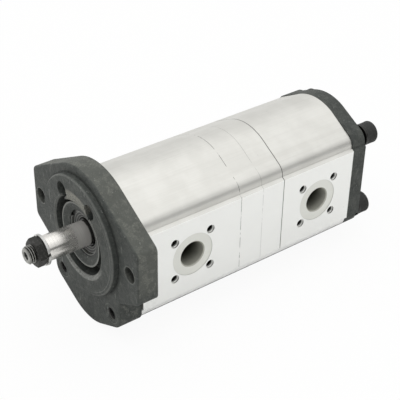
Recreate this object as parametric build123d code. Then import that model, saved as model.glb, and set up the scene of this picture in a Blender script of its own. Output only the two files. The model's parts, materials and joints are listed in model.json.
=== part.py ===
from build123d import *
import os
from math import acos, cos, pi, sin, sqrt, tan, radians

os.makedirs("parts", exist_ok=True)

# A tandem gear pump: two external gear stages, one behind the other, driven by one keyed shaft
# through a cast mounting flange. Four long tie bolts hold the stack together.
# The origin is the middle of the pilot on the mounting face. Y runs along the shafts towards the
# rear, X is positive on the suction side, and Z points from the driven gears to the drive gears.
# All lengths are millimetres.

# Mounting flange and pilot
PILOT_RADIUS = 41.275
PILOT_HEIGHT = 4.5
PILOT_CHAMFER = 0.8
FLANGE_THICKNESS = 14.8
FLANGE_ROUND_RADIUS = 47.2
EAR_HALF_SPAN = 62.0
EAR_SLOPE = 30.0
EAR_CORNER_RADIUS = 5.0
FLANGE_HOLE_RADIUS = 5.55
FLANGE_HOLE_X = 53.2
FLANGE_EDGE_ROUND = 1.2
COVER_LENGTH = 17.3
COVER_HALF_WIDTH = 39.8
COVER_CORNER_RADIUS = 10.3
BOLT_SPOT_RADIUS = 7.0
BOLT_SPOT_DEPTH = 0.3
SHAFT_HOLE_CLEARANCE = 0.25

# Ring recess, seal sleeve and cast pockets in the pilot's face
RECESS_RADIUS = 27.2
RECESS_DEPTH = 11.0
RECESS_BEVEL = 1.2
RECESS_WIDTH = 4.9
SLEEVE_SETBACK = 2.5
SLEEVE_RIM_WIDTH = 1.4
SLEEVE_DISH_DEPTH = 2.2
SLEEVE_BORE_RADIUS = 16.0
POCKET_RADIUS = 5.3
POCKET_X = 16.2
POCKET_Z = 26.8
POCKET_DEPTH = 9.0
WEB_REACH = 2.8
WEB_HALF_WIDTH = 14.0
WEB_SETBACK = 0.6

# Gears
CENTRE_DISTANCE = 32.0
TOOTH_COUNT = 12
PRESSURE_ANGLE = 25.0
DEDENDUM_FACTOR = 1.13
BACKLASH = 0.3
FRONT_GEAR_WIDTH = 30.2
REAR_GEAR_WIDTH = 15.4
TIP_CLEARANCE = 0.15
SIDE_CLEARANCE = 0.1

# Journals, liners and bearing blocks
JOURNAL_RADIUS = 9.0
RUNNING_CLEARANCE = 0.04
LINER_WALL = 1.0
BLOCK_LENGTH = 24.0
BLOCK_CLEARANCE = 0.05
JOURNAL_END_GAP = 0.4
RELIEF_HALF_HEIGHT = 3.0
RELIEF_INNER_X = 2.4
RELIEF_DEPTH = 2.0

# Drive shaft end
SHAFT_RADIUS = 8.5
SHAFT_SHOULDER_Y = -28.8
SHAFT_SHOULDER_CHAMFER = 0.5
THREAD_RADIUS = 6.0
THREAD_END_Y = -41.3
THREAD_CHAMFER = 1.0
CENTRE_DRILL_RADIUS = 2.9
CENTRE_DRILL_BORE_RADIUS = 1.3
CENTRE_DRILL_DEPTH = 6.0
SEAL_TRACK_FRONT_Y = 2.5

# Shaft nut, spring washer and key
NUT_ACROSS_FLATS = 17.0
NUT_HEIGHT = 6.0
NUT_BEVEL_ANGLE = 30.0
WASHER_RADIUS = 10.4
WASHER_THICKNESS = 1.8
WASHER_SPLIT_WIDTH = 1.2
WASHER_SPLIT_ANGLE = 20.0
KEY_WIDTH = 5.0
KEY_DISC_RADIUS = 8.0
KEY_HEIGHT = 6.5
KEY_STAND = 2.0
KEY_Y = -15.0
KEY_ANGLE = 220.0

# Drive coupling between the stages
COUPLING_RADIUS = 12.2
COUPLING_LENGTH = 28.0
COUPLING_HOLE_CLEARANCE = 0.3
TONGUE_WIDTH = 8.0
TONGUE_LENGTH = 8.0
TONGUE_CLEARANCE = 0.1
COUPLING_END_GAP = 0.25

# Pump bodies, plates and rear cover
BODY_ROUND_RADIUS = 36.2
BOLT_BOSS_RADIUS = 9.2
BOLT_X = 30.0
BOLT_HALF_HEIGHT = 30.0
FRONT_PLATE_LENGTH = 18.5
REAR_PLATE_LENGTH = 18.0
REAR_COVER_LENGTH = 11.6
REAR_COVER_OVERHANG = 0.8
LAND_HALF_WIDTH = 40.0
LAND_TOP_Z = 4.5
LAND_BOTTOM_Z = -37.0
LAND_CORNER_RADIUS = 4.0
LAND_HEIGHT = 1.5
BOSS_HEIGHT = 3.6

# Port lands, ports and their bolt holes
PAD_X = 41.5
PAD_HALF_HEIGHT = 28.1
PAD_LEDGE_DROP = 1.5
SUCTION_RADIUS = 9.0
SUCTION_HOLE_SPACING = 28.284
PRESSURE_RADIUS = 7.5
PRESSURE_HOLE_SPACING = 24.75
PORT_HOLE_RADIUS = 3.1
PORT_HOLE_DEPTH = 13.0
DRILL_POINT_ANGLE = 118.0
SPOT_FACE_MARGIN = 6.7
SPOT_FACE_DEPTH = 0.3
PORT_CHAMFER = 0.6
PORT_THROAT_STEP = 1.0
PORT_THROAT_WALL = 2.0

# Tie bolts
TIE_BOLT_RADIUS = 5.0
TIE_BOLT_CLEARANCE = 0.25
TIE_BOLT_TIP_Y = 6.5
TAPPED_CORE_RADIUS = 4.3
BOLT_HEAD_RADIUS = 8.0
BOLT_HEAD_HEIGHT = 10.0
BOLT_HEAD_CHAMFER = 0.8
HEX_SOCKET_ACROSS_FLATS = 8.0
HEX_SOCKET_DEPTH = 5.0
BOLT_WASHER_RADIUS = 8.3
BOLT_WASHER_THICKNESS = 1.4

# Dowel pins at each joint
DOWEL_RADIUS = 3.0
DOWEL_HALF_LENGTH = 5.0
DOWEL_X = 32.5
BLIND_HOLE_GAP = 0.3

# Seals
HOUSING_SEAL_MARGIN = 2.9
HOUSING_SEAL_WIDTH = 2.4
SEAL_THICKNESS = 1.9
SEAL_GAP = 0.05
PRESSURE_SEAL_RADIUS = 15.6
PRESSURE_SEAL_WIDTH = 2.2
PRESSURE_SEAL_OPEN_X = 4.0
BACKUP_STRIP_THICKNESS = 1.2
PLATE_SEAL_RADIUS = 17.0
SHAFT_SEAL_FRONT_Y = 2.0
SHAFT_SEAL_LENGTH = 7.0
SHAFT_SEAL_WALL = 2.0
SHAFT_SEAL_LIP_GAP = 0.05
CIRCLIP_THICKNESS = 1.5
CIRCLIP_GROOVE_DEPTH = 1.2
CIRCLIP_INNER_RADIUS = 14.6
CIRCLIP_OPENING = 9.0
CIRCLIP_TURN = 130.0

# Sizes worked out from the values above
MIDDLE_Z = -CENTRE_DISTANCE / 2
PITCH_RADIUS = CENTRE_DISTANCE / 2
MODULE = CENTRE_DISTANCE / TOOTH_COUNT
TIP_RADIUS = PITCH_RADIUS + MODULE
ROOT_RADIUS = PITCH_RADIUS - DEDENDUM_FACTOR * MODULE
BASE_RADIUS = PITCH_RADIUS * cos(radians(PRESSURE_ANGLE))
CHAMBER_RADIUS = TIP_RADIUS + TIP_CLEARANCE
LINER_BORE_RADIUS = JOURNAL_RADIUS + RUNNING_CLEARANCE
BLOCK_BORE_RADIUS = LINER_BORE_RADIUS + LINER_WALL
BOLT_HOLE_RADIUS = TIE_BOLT_RADIUS + TIE_BOLT_CLEARANCE
BOLT_PLACES = [(x, MIDDLE_Z + z) for z in (BOLT_HALF_HEIGHT, -BOLT_HALF_HEIGHT) for x in (BOLT_X, -BOLT_X)]
DOWEL_PLACES = [(DOWEL_X, MIDDLE_Z), (-DOWEL_X, MIDDLE_Z)]
GROOVE_DEPTH = SEAL_THICKNESS + SEAL_GAP
NOSE_CORE_RADIUS = RECESS_RADIUS + RECESS_BEVEL
SLEEVE_RADIUS = RECESS_RADIUS - RECESS_WIDTH
WEB_INNER_RADIUS = RECESS_RADIUS - WEB_REACH
HOUSING_SEAL_RADIUS = CHAMBER_RADIUS + HOUSING_SEAL_MARGIN

# Stations along Y, from the mounting face to the bolt heads
FRONT_BODY_Y = COVER_LENGTH
FRONT_GEAR_Y = FRONT_BODY_Y + BLOCK_LENGTH
FRONT_PLATE_Y = FRONT_GEAR_Y + FRONT_GEAR_WIDTH + 2 * SIDE_CLEARANCE + BLOCK_LENGTH
REAR_PLATE_Y = FRONT_PLATE_Y + FRONT_PLATE_LENGTH
REAR_BODY_Y = REAR_PLATE_Y + REAR_PLATE_LENGTH
REAR_GEAR_Y = REAR_BODY_Y + BLOCK_LENGTH
REAR_COVER_Y = REAR_GEAR_Y + REAR_GEAR_WIDTH + 2 * SIDE_CLEARANCE + BLOCK_LENGTH
COVER_BACK_Y = REAR_COVER_Y + REAR_COVER_LENGTH
BOSS_BACK_Y = COVER_BACK_Y + BOSS_HEIGHT
HEAD_Y = BOSS_BACK_Y + BOLT_WASHER_THICKNESS
COUPLING_Y = (FRONT_PLATE_Y + REAR_BODY_Y - COUPLING_LENGTH) / 2


# Outlines in the X-Z plane and solids along Y
def disc(radius, x=0.0, z=0.0):
    return Pos(x, z) * Circle(radius)


def hull_of(*outlines):
    """Smallest convex outline round several outlines."""
    return make_hull([edge for outline in outlines for edge in outline.edges()])


def slab(outline, front, rear):
    """Solid of one X-Z outline between two Y stations."""
    return extrude(Plane.XZ.offset(-rear) * outline, rear - front)


def rod(radius, front, rear, x=0.0, z=0.0):
    return slab(disc(radius, x, z), front, rear)


def turned(*corners, x=0.0, z=0.0):
    """Solid of revolution about an axis along Y, from the (radius, Y) corners of its half section."""
    half = make_face(Polyline(*corners, close=True))
    return Pos(x, 0, z) * revolve(half, Axis.Y)


def ring(outer, inner, front, rear, x=0.0, z=0.0):
    return turned((inner, front), (outer, front), (outer, rear), (inner, rear), x=x, z=z)


def polar(radius, angle):
    return (radius * cos(angle), radius * sin(angle))


def each(places, make):
    """Separate solids of one kind, one at each (x, z) place."""
    return [make(x, z) for x, z in places]


def cut_all(solid, tools):
    for tool in tools:
        solid -= tool
    return solid


# Outline shared by the bodies, the plates and the rear cover
def boss_radius(z, overhang):
    """Radius of a bolt boss; only the upper two grow by the overhang."""
    return BOLT_BOSS_RADIUS + (overhang if z > MIDDLE_Z else 0)


def skin_outline(overhang=0.0):
    """Two gear rounds and four bolt bosses under one tight skin."""
    rounds = [disc(BODY_ROUND_RADIUS), disc(BODY_ROUND_RADIUS, 0, -CENTRE_DISTANCE)]
    bosses = [disc(boss_radius(z, overhang), x, z) for x, z in BOLT_PLACES]
    return hull_of(*rounds, *bosses)


def port_lands():
    """The flat lands either side, each with a sloped ledge along its top and bottom."""
    side = BOLT_X + BOLT_BOSS_RADIUS
    shoulder = PAD_HALF_HEIGHT + PAD_LEDGE_DROP
    right = [(side, shoulder), (PAD_X, PAD_HALF_HEIGHT), (PAD_X, -PAD_HALF_HEIGHT), (side, -shoulder)]
    left = [(-x, z) for x, z in reversed(right)]
    return Pos(0, MIDDLE_Z) * make_face(Polyline(*right, *left, close=True))


def body_outline():
    return skin_outline() + port_lands()


def chamber_outline(radius):
    """Figure of eight round the two gears."""
    return disc(radius) + disc(radius, 0, -CENTRE_DISTANCE)


def tie_bolt_holes(front, rear):
    return each(BOLT_PLACES, lambda x, z: rod(BOLT_HOLE_RADIUS, front, rear, x, z))


def dowel_holes(joint_y, direction):
    """Blind dowel holes into the piece that lies behind (+1) or in front (-1) of a joint."""
    deep = joint_y + direction * (DOWEL_HALF_LENGTH + BLIND_HOLE_GAP)
    front, rear = min(joint_y, deep), max(joint_y, deep)
    return each(DOWEL_PLACES, lambda x, z: rod(DOWEL_RADIUS, front, rear, x, z))


# Mounting flange
def flange_outline():
    """Round flange with two ears, each side a straight line from the round to the ear's corner."""
    slope = radians(90 - EAR_SLOPE)
    corner_x = EAR_HALF_SPAN - EAR_CORNER_RADIUS
    corner_z = (FLANGE_ROUND_RADIUS - EAR_CORNER_RADIUS - corner_x * cos(slope)) / sin(slope)
    corners = [disc(EAR_CORNER_RADIUS, i * corner_x, k * corner_z) for i in (1, -1) for k in (1, -1)]
    return hull_of(disc(FLANGE_ROUND_RADIUS), *corners)


def cover_outline():
    """The cover behind the flange: it follows the body and rounds the two lower bolts."""
    corner_x = COVER_HALF_WIDTH - COVER_CORNER_RADIUS
    lower_bolt_z = MIDDLE_Z - BOLT_HALF_HEIGHT
    corners = [disc(COVER_CORNER_RADIUS, i * corner_x, k) for i in (1, -1) for k in (0, lower_bolt_z)]
    upper_bosses = [disc(BOLT_BOSS_RADIUS, x, z) for x, z in BOLT_PLACES if z > MIDDLE_Z]
    rounds = [disc(BODY_ROUND_RADIUS), disc(BODY_ROUND_RADIUS, 0, -CENTRE_DISTANCE)]
    return hull_of(*rounds, *upper_bosses, *corners)


def rounded_slab(outline, rear):
    """Plate behind the mounting face, its front edge rounded as cast."""
    plate = slab(outline, 0, rear)
    front_edges = [edge for edge in plate.edges() if abs(edge.center().Y) < 0.01]
    return fillet(front_edges, FLANGE_EDGE_ROUND)


def cover_nose():
    """Pilot, ring recess, dished seal sleeve and stepped shaft bore, turned in one profile."""
    face_y = -PILOT_HEIGHT
    sleeve_y = face_y + SLEEVE_SETBACK
    dish_y = sleeve_y + SLEEVE_DISH_DEPTH
    floor_y = face_y + RECESS_DEPTH
    clip_y = SHAFT_SEAL_FRONT_Y - CIRCLIP_THICKNESS
    seat_end = SHAFT_SEAL_FRONT_Y + SHAFT_SEAL_LENGTH
    groove_radius = SLEEVE_BORE_RADIUS + CIRCLIP_GROOVE_DEPTH
    shaft_hole = JOURNAL_RADIUS + SHAFT_HOLE_CLEARANCE
    return turned(
        (shaft_hole, COVER_LENGTH),
        (NOSE_CORE_RADIUS, COVER_LENGTH),
        (NOSE_CORE_RADIUS, 0),
        (PILOT_RADIUS, 0),
        (PILOT_RADIUS, face_y + PILOT_CHAMFER),
        (PILOT_RADIUS - PILOT_CHAMFER, face_y),
        (RECESS_RADIUS + RECESS_BEVEL, face_y),
        (RECESS_RADIUS, face_y + RECESS_BEVEL),
        (RECESS_RADIUS, floor_y),
        (SLEEVE_RADIUS, floor_y),
        (SLEEVE_RADIUS, sleeve_y),
        (SLEEVE_RADIUS - SLEEVE_RIM_WIDTH, sleeve_y),
        (SLEEVE_BORE_RADIUS, dish_y),
        (SLEEVE_BORE_RADIUS, clip_y),
        (groove_radius, clip_y),
        (groove_radius, SHAFT_SEAL_FRONT_Y),
        (SLEEVE_BORE_RADIUS, SHAFT_SEAL_FRONT_Y),
        (SLEEVE_BORE_RADIUS, seat_end),
        (shaft_hole, seat_end),
    )


def recess_web():
    """Cast web that narrows the ring recess between the two pockets."""
    front = WEB_SETBACK - PILOT_HEIGHT
    outline = disc(NOSE_CORE_RADIUS) - disc(WEB_INNER_RADIUS)
    window = Pos(0, NOSE_CORE_RADIUS) * Rectangle(2 * WEB_HALF_WIDTH, 2 * NOSE_CORE_RADIUS)
    return slab(outline & window, front, RECESS_DEPTH - PILOT_HEIGHT + WEB_SETBACK)


def front_cover():
    flange = rounded_slab(flange_outline(), FLANGE_THICKNESS) + rounded_slab(cover_outline(), COVER_LENGTH)
    flange -= rod(NOSE_CORE_RADIUS, 0, COVER_LENGTH)
    ears = [(FLANGE_HOLE_X, 0), (-FLANGE_HOLE_X, 0)]
    flange = cut_all(flange, each(ears, lambda x, z: rod(FLANGE_HOLE_RADIUS, 0, FLANGE_THICKNESS, x, z)))
    cover = flange + cover_nose() + recess_web()
    pockets = [(POCKET_X, POCKET_Z), (-POCKET_X, POCKET_Z)]
    pocket_front = -2 * PILOT_HEIGHT
    pocket_end = POCKET_DEPTH - PILOT_HEIGHT
    cover = cut_all(cover, each(pockets, lambda x, z: rod(POCKET_RADIUS, pocket_front, pocket_end, x, z)))
    cover = cut_all(cover, cover_threads() + dowel_holes(COVER_LENGTH, -1))
    return cover - housing_seal_groove(COVER_LENGTH, -1)


def cover_threads():
    """Tapped holes for the tie bolts: the lower pair breaks out at spot faces in the front."""
    holes = []
    for x, z in BOLT_PLACES:
        holes.append(rod(TIE_BOLT_RADIUS, TIE_BOLT_TIP_Y - BLIND_HOLE_GAP, COVER_LENGTH, x, z))
        if z < MIDDLE_Z:
            holes.append(rod(TAPPED_CORE_RADIUS, 0, COVER_LENGTH, x, z))
            holes.append(rod(BOLT_SPOT_RADIUS, -BOLT_SPOT_DEPTH, BOLT_SPOT_DEPTH, x, z))
    return holes


# Seals between the castings
def housing_seal_outline(grow=0.0):
    """Closed band that runs round both gear chambers."""
    def loop(radius):
        return hull_of(disc(radius), disc(radius, 0, -CENTRE_DISTANCE))

    return loop(HOUSING_SEAL_RADIUS + HOUSING_SEAL_WIDTH + grow) - loop(HOUSING_SEAL_RADIUS - grow)


def housing_seal_groove(joint_y, direction):
    deep = joint_y + direction * GROOVE_DEPTH
    return slab(housing_seal_outline(SEAL_GAP), min(joint_y, deep), max(joint_y, deep))


def housing_seal(joint_y, direction):
    deep = joint_y + direction * SEAL_THICKNESS
    return slab(housing_seal_outline(), min(joint_y, deep), max(joint_y, deep))


def plate_seal(grow=0.0):
    half = HOUSING_SEAL_WIDTH / 2 + grow
    end = REAR_PLATE_Y + SEAL_THICKNESS + grow
    return ring(PLATE_SEAL_RADIUS + half, PLATE_SEAL_RADIUS - half, REAR_PLATE_Y, end)


# Pump bodies with their ports
def drilled_hole(radius, depth, y, z, side):
    """Blind drilled hole into a port land, from X = PAD_X inwards, with its drill point."""
    point = radius / tan(radians(DRILL_POINT_ANGLE / 2))
    corners = [(0, PAD_X), (radius, PAD_X), (radius, PAD_X - depth), (0, PAD_X - depth - point)]
    tool = revolve(make_face(Polyline(*corners, close=True)), Axis.Y)
    return Pos(0, y, z) * Rot(0, 0, -90 * side) * tool


def port_cuts(y, radius, spacing, side):
    """Port bore, its narrower throat to the mesh, its spot face and its four tapped holes."""
    inwards = (Align.CENTER, Align.CENTER, Align.MAX)
    bore = Cylinder(radius, PAD_X - CHAMBER_RADIUS - PORT_THROAT_WALL, align=inwards)
    throat = Cylinder(radius - PORT_THROAT_STEP, PAD_X - PITCH_RADIUS / 2, align=inwards)
    edge = Cone(radius, radius + PORT_CHAMFER, PORT_CHAMFER, align=inwards)
    face = Cylinder(radius + SPOT_FACE_MARGIN, SPOT_FACE_DEPTH, align=inwards)
    rim = Pos(0, 0, -SPOT_FACE_DEPTH) * edge
    place = Pos(side * PAD_X, y, MIDDLE_Z) * Rot(0, 90 * side, 0)
    half = spacing / 2
    holes = [
        drilled_hole(PORT_HOLE_RADIUS, PORT_HOLE_DEPTH, y + i * half, MIDDLE_Z + k * half, side)
        for i in (1, -1)
        for k in (1, -1)
    ]
    return [place * bore, place * throat, place * rim, place * face] + holes


def pump_body(front, rear):
    body = slab(body_outline() - chamber_outline(CHAMBER_RADIUS), front, rear)
    middle = (front + rear) / 2
    tools = tie_bolt_holes(front, rear) + dowel_holes(front, 1) + dowel_holes(rear, -1)
    tools += port_cuts(middle, SUCTION_RADIUS, SUCTION_HOLE_SPACING, 1)
    tools += port_cuts(middle, PRESSURE_RADIUS, PRESSURE_HOLE_SPACING, -1)
    return cut_all(body, tools)


# Plates between the stages
def front_stage_end_plate():
    plate = slab(body_outline(), FRONT_PLATE_Y, REAR_PLATE_Y)
    plate -= rod(COUPLING_RADIUS + COUPLING_HOLE_CLEARANCE, FRONT_PLATE_Y, REAR_PLATE_Y)
    plate -= housing_seal_groove(FRONT_PLATE_Y, 1)
    tools = tie_bolt_holes(FRONT_PLATE_Y, REAR_PLATE_Y)
    tools += dowel_holes(FRONT_PLATE_Y, 1) + dowel_holes(REAR_PLATE_Y, -1)
    return cut_all(plate, tools)


def rear_stage_front_plate():
    plate = slab(body_outline(), REAR_PLATE_Y, REAR_BODY_Y)
    plate -= rod(COUPLING_RADIUS + COUPLING_HOLE_CLEARANCE, REAR_PLATE_Y, REAR_BODY_Y)
    plate -= housing_seal_groove(REAR_BODY_Y, -1)
    plate -= plate_seal(SEAL_GAP)
    tools = tie_bolt_holes(REAR_PLATE_Y, REAR_BODY_Y)
    tools += dowel_holes(REAR_PLATE_Y, 1) + dowel_holes(REAR_BODY_Y, -1)
    return cut_all(plate, tools)


# Rear cover with its raised land and bolt bosses
def rear_cover():
    outline = skin_outline(REAR_COVER_OVERHANG) + port_lands()
    cover = slab(outline, REAR_COVER_Y, COVER_BACK_Y)
    land_height = LAND_TOP_Z - LAND_BOTTOM_Z
    land = Pos(0, (LAND_TOP_Z + LAND_BOTTOM_Z) / 2) * RectangleRounded(
        2 * LAND_HALF_WIDTH, land_height, LAND_CORNER_RADIUS
    )
    cover += slab(land, COVER_BACK_Y - LAND_HEIGHT, COVER_BACK_Y + LAND_HEIGHT)
    for x, z in BOLT_PLACES:
        cover += rod(boss_radius(z, REAR_COVER_OVERHANG), REAR_COVER_Y, BOSS_BACK_Y, x, z)
    cover = cut_all(cover, tie_bolt_holes(REAR_COVER_Y, BOSS_BACK_Y) + dowel_holes(REAR_COVER_Y, 1))
    return cover - housing_seal_groove(REAR_COVER_Y, 1)


# Tie bolts, their washers and the dowel pins
def tie_bolt(x, z):
    """Socket-head bolt from behind the rear cover into the front cover's thread."""
    end_y = HEAD_Y + BOLT_HEAD_HEIGHT
    bolt = turned(
        (0, TIE_BOLT_TIP_Y),
        (TIE_BOLT_RADIUS - BOLT_HEAD_CHAMFER, TIE_BOLT_TIP_Y),
        (TIE_BOLT_RADIUS, TIE_BOLT_TIP_Y + BOLT_HEAD_CHAMFER),
        (TIE_BOLT_RADIUS, HEAD_Y),
        (BOLT_HEAD_RADIUS, HEAD_Y),
        (BOLT_HEAD_RADIUS, end_y - BOLT_HEAD_CHAMFER),
        (BOLT_HEAD_RADIUS - BOLT_HEAD_CHAMFER, end_y),
        (0, end_y),
        x=x,
        z=z,
    )
    socket = Pos(x, z) * RegularPolygon(HEX_SOCKET_ACROSS_FLATS / 2, 6, major_radius=False)
    return bolt - slab(socket, end_y - HEX_SOCKET_DEPTH, end_y)


def tie_bolt_washer(x, z):
    return ring(BOLT_WASHER_RADIUS, BOLT_HOLE_RADIUS, BOSS_BACK_Y, HEAD_Y, x, z)


def dowels(joint_y):
    front, rear = joint_y - DOWEL_HALF_LENGTH, joint_y + DOWEL_HALF_LENGTH
    return each(DOWEL_PLACES, lambda x, z: rod(DOWEL_RADIUS, front, rear, x, z))


# Gears
def involute(angle):
    return tan(angle) - angle


def half_tooth_angle(radius):
    """Half the angle that one tooth fills at a radius, from the involute of the base circle."""
    at_pitch = (pi * MODULE - BACKLASH) / (4 * PITCH_RADIUS)
    pressure = acos(min(1.0, BASE_RADIUS / radius))
    return at_pitch + involute(radians(PRESSURE_ANGLE)) - involute(pressure)


def gear_outline(phase):
    """Spur gear with involute flanks, one tooth centred on the phase angle."""
    pitch_angle = 2 * pi / TOOTH_COUNT
    start = max(BASE_RADIUS, ROOT_RADIUS)
    flank_radii = [start, (start + TIP_RADIUS) / 2, TIP_RADIUS]
    half_root = half_tooth_angle(start)
    edges = []
    for tooth in range(TOOTH_COUNT):
        middle = phase + tooth * pitch_angle
        rising = [polar(r, middle - half_tooth_angle(r)) for r in flank_radii]
        falling = [polar(r, middle + half_tooth_angle(r)) for r in reversed(flank_radii)]
        root_in = polar(ROOT_RADIUS, middle - half_root)
        root_out = polar(ROOT_RADIUS, middle + half_root)
        next_root = polar(ROOT_RADIUS, middle + pitch_angle - half_root)
        edges.append(ThreePointArc(*rising))
        edges.append(ThreePointArc(rising[-1], polar(TIP_RADIUS, middle), falling[0]))
        edges.append(ThreePointArc(*falling))
        edges.append(ThreePointArc(root_out, polar(ROOT_RADIUS, middle + pitch_angle / 2), next_root))
        if ROOT_RADIUS < start:
            edges.append(Line(root_in, rising[0]))
            edges.append(Line(falling[-1], root_out))
    return make_face(edges)


def gear_teeth(gear_y, width, z, phase):
    front = gear_y + SIDE_CLEARANCE
    return slab(Pos(0, z) * gear_outline(radians(phase)), front, front + width)


def journals(stage_y, width, z):
    """Shaft through both bearing blocks of a stage, short of their ends."""
    stage_end = stage_y + 2 * BLOCK_LENGTH + width + 2 * SIDE_CLEARANCE
    return rod(JOURNAL_RADIUS, stage_y + JOURNAL_END_GAP, stage_end - JOURNAL_END_GAP, 0, z)


DRIVE_PHASE = -90.0
DRIVEN_PHASE = 90.0 + 180.0 / TOOTH_COUNT


def driven_gear(stage_y, width):
    teeth = gear_teeth(stage_y + BLOCK_LENGTH, width, -CENTRE_DISTANCE, DRIVEN_PHASE)
    return teeth + journals(stage_y, width, -CENTRE_DISTANCE)


def tongue(front):
    """Flat-sided drive tongue across a shaft end."""
    blade = rod(JOURNAL_RADIUS, front, front + TONGUE_LENGTH)
    return blade & Box(2 * JOURNAL_RADIUS, 2 * (front + TONGUE_LENGTH), TONGUE_WIDTH)


def rear_drive_gear():
    tongue_y = COUPLING_Y + COUPLING_LENGTH + COUPLING_END_GAP - TONGUE_LENGTH
    journal_end = REAR_COVER_Y - JOURNAL_END_GAP
    gear = gear_teeth(REAR_GEAR_Y, REAR_GEAR_WIDTH, 0, DRIVE_PHASE)
    return gear + rod(JOURNAL_RADIUS, tongue_y + TONGUE_LENGTH, journal_end) + tongue(tongue_y)


def drive_shaft():
    """Threaded end, keyed shaft, seal track, gear teeth, journals and the rear tongue in one piece."""
    tongue_y = COUPLING_Y - COUPLING_END_GAP
    drill_flare = CENTRE_DRILL_RADIUS - CENTRE_DRILL_BORE_RADIUS
    shaft = turned(
        (0, THREAD_END_Y + CENTRE_DRILL_DEPTH),
        (CENTRE_DRILL_BORE_RADIUS, THREAD_END_Y + CENTRE_DRILL_DEPTH),
        (CENTRE_DRILL_BORE_RADIUS, THREAD_END_Y + drill_flare * sqrt(3)),
        (CENTRE_DRILL_RADIUS, THREAD_END_Y),
        (THREAD_RADIUS - THREAD_CHAMFER, THREAD_END_Y),
        (THREAD_RADIUS, THREAD_END_Y + THREAD_CHAMFER),
        (THREAD_RADIUS, SHAFT_SHOULDER_Y),
        (SHAFT_RADIUS - SHAFT_SHOULDER_CHAMFER, SHAFT_SHOULDER_Y),
        (SHAFT_RADIUS, SHAFT_SHOULDER_Y + SHAFT_SHOULDER_CHAMFER),
        (SHAFT_RADIUS, SEAL_TRACK_FRONT_Y),
        (JOURNAL_RADIUS, SEAL_TRACK_FRONT_Y),
        (JOURNAL_RADIUS, tongue_y),
        (0, tongue_y),
    )
    shaft += gear_teeth(FRONT_GEAR_Y, FRONT_GEAR_WIDTH, 0, DRIVE_PHASE)
    shaft += tongue(tongue_y)
    return shaft - key_disc()


# Key, spring washer and nut on the shaft's end
def key_disc():
    """Disc that the half-round key and its seat are cut from, turned to the key's side."""
    centre = SHAFT_RADIUS + KEY_STAND - KEY_HEIGHT + KEY_DISC_RADIUS
    disc_solid = extrude(Pos(centre, KEY_Y) * Circle(KEY_DISC_RADIUS), KEY_WIDTH / 2, both=True)
    return Rot(0, -KEY_ANGLE, 0) * disc_solid


def woodruff_key():
    return key_disc() & rod(SHAFT_RADIUS + KEY_STAND, KEY_Y - KEY_DISC_RADIUS, KEY_Y + KEY_DISC_RADIUS)


def spring_washer():
    """Split washer, its cut slanted through the thickness."""
    front = SHAFT_SHOULDER_Y - WASHER_THICKNESS
    washer = ring(WASHER_RADIUS, THREAD_RADIUS, front, SHAFT_SHOULDER_Y)
    reach = 2 * WASHER_RADIUS
    cut = Box(reach, reach, WASHER_SPLIT_WIDTH, align=(Align.MIN, Align.CENTER, Align.CENTER))
    slant = Rot(0, WASHER_SPLIT_ANGLE, 0) * Rot(WASHER_SPLIT_ANGLE, 0, 0)
    return washer - Pos(0, front + WASHER_THICKNESS / 2, 0) * slant * cut


def shaft_nut():
    """Hexagon nut with bevelled corners on both faces."""
    rear = SHAFT_SHOULDER_Y - WASHER_THICKNESS
    front = rear - NUT_HEIGHT
    flat = NUT_ACROSS_FLATS / 2
    corner = flat / cos(pi / 6)
    drop = (corner - flat) * tan(radians(NUT_BEVEL_ANGLE))
    hexagon = RegularPolygon(flat, 6, major_radius=False)
    envelope = turned(
        (THREAD_RADIUS, front),
        (flat, front),
        (corner, front + drop),
        (corner, rear - drop),
        (flat, rear),
        (THREAD_RADIUS, rear),
    )
    return slab(hexagon, front, rear) & envelope


# Coupling between the drive shaft and the rear drive gear
def drive_coupling():
    coupling = rod(COUPLING_RADIUS, COUPLING_Y, COUPLING_Y + COUPLING_LENGTH)
    slot_depth = TONGUE_LENGTH
    slot = Box(3 * COUPLING_RADIUS, 2 * slot_depth, TONGUE_WIDTH + 2 * TONGUE_CLEARANCE)
    ends = (COUPLING_Y, COUPLING_Y + COUPLING_LENGTH)
    return cut_all(coupling, [Pos(0, y, 0) * slot for y in ends])


# Bearing blocks, their liners and the seals on their backs
def relief_pocket(side):
    """Relief for the oil trapped in the mesh, cut beside the pitch point."""
    width = CHAMBER_RADIUS - RELIEF_INNER_X
    x = side * (RELIEF_INNER_X + width / 2)
    return Pos(x, MIDDLE_Z) * Rectangle(width, 2 * RELIEF_HALF_HEIGHT)


def seal_band(grow=0.0):
    """Band in the form of a 3 round both journals, open to the suction side."""
    outer = PRESSURE_SEAL_RADIUS + PRESSURE_SEAL_WIDTH / 2 + grow
    inner = PRESSURE_SEAL_RADIUS - PRESSURE_SEAL_WIDTH / 2 - grow
    width = 2 * CHAMBER_RADIUS
    window = Pos(PRESSURE_SEAL_OPEN_X + grow - width / 2, MIDDLE_Z) * Rectangle(width, 4 * CHAMBER_RADIUS)
    rings = chamber_outline(outer) - chamber_outline(inner)
    return rings & window


def bearing_block(front, gear_side):
    """Figure-of-eight block with two liner bores; gear_side is +1 with the gears behind it."""
    rear = front + BLOCK_LENGTH
    block = slab(chamber_outline(CHAMBER_RADIUS - BLOCK_CLEARANCE), front, rear)
    block -= rod(BLOCK_BORE_RADIUS, front, rear)
    block -= rod(BLOCK_BORE_RADIUS, front, rear, 0, -CENTRE_DISTANCE)
    gear_face, back_face = (rear, front) if gear_side > 0 else (front, rear)
    relief_end = gear_face - gear_side * RELIEF_DEPTH
    for side in (1, -1):
        block -= slab(relief_pocket(side), min(gear_face, relief_end), max(gear_face, relief_end))
    groove_end = back_face + gear_side * (GROOVE_DEPTH + BACKUP_STRIP_THICKNESS)
    return block - slab(seal_band(SEAL_GAP), min(back_face, groove_end), max(back_face, groove_end))


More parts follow.
